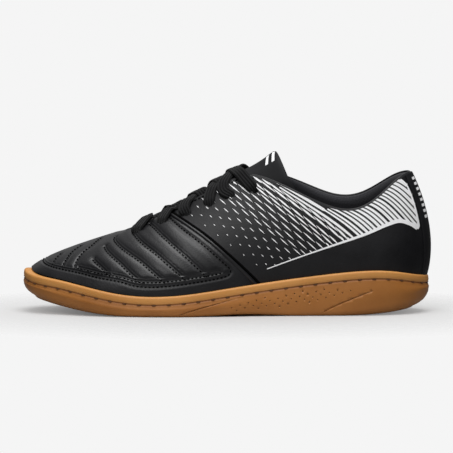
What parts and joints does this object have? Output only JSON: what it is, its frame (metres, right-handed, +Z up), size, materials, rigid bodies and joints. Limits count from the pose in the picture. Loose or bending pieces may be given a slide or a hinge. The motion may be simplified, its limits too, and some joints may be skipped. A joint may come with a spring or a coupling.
{
  "type": "indoor soccer shoe",
  "caption": "Low indoor soccer shoe for the left foot: gum cup sole, hollow upper with quilted vamp, padded collar, tongue and flat laces.",
  "frame": {"origin": "on the floor, under the middle of the bounding box", "axes": "+X from toe to heel, +Y towards the inner side of the foot, +Z up"},
  "size_m": [0.2904, 0.1042, 0.1145],
  "materials": {
    "gum_rubber": "satin amber gum rubber",
    "insole_foam": "black fabric over foam",
    "synthetic_leather": "smooth black, slight sheen",
    "lining_knit": "matte black knit",
    "lace_weave": "matte black flat braid"
  },
  "bodies": {
    "root": {"outsole": "gum_rubber", "insole": "insole_foam", "upper": "synthetic_leather", "vamp_panel": "synthetic_leather", "heel_strip": "synthetic_leather", "collar_lining": "lining_knit", "tongue": "synthetic_leather", "laces": "lace_weave"}
  },
  "joints": []
}
